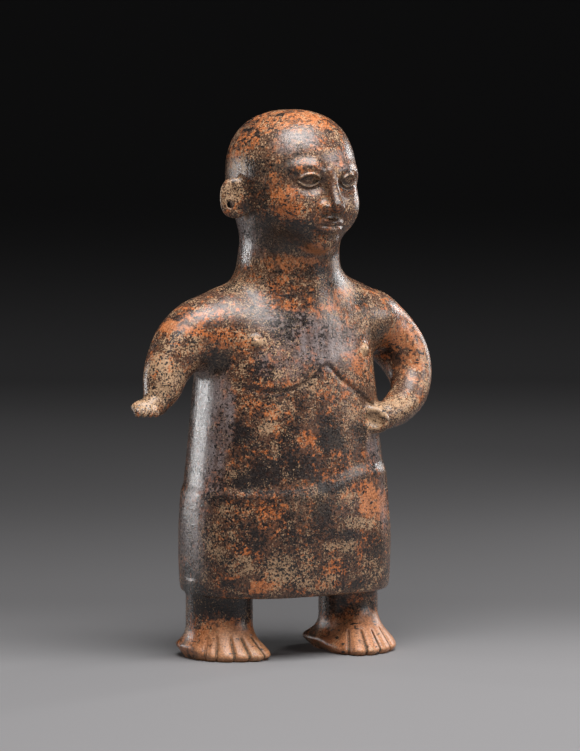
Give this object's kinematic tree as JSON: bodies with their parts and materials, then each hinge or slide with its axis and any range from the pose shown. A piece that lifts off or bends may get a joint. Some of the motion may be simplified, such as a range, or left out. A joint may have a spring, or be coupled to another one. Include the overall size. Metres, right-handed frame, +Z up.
{
  "type": "standing ceramic figure",
  "caption": "Standing woman of burnished clay in a wrapped skirt, with one arm hanging away from the body and the other curved like a handle to the waist.",
  "frame": {"origin": "middle of the bounding box's underside, on the floor that the soles stand on", "axes": "+Z up from the soles to the crown, -Y the way the figure faces, +X towards the figure's left"},
  "size_m": [0.2424, 0.1218, 0.38],
  "materials": {
    "clay": "satin"
  },
  "bodies": {
    "root": {"figure": "clay"}
  },
  "joints": []
}
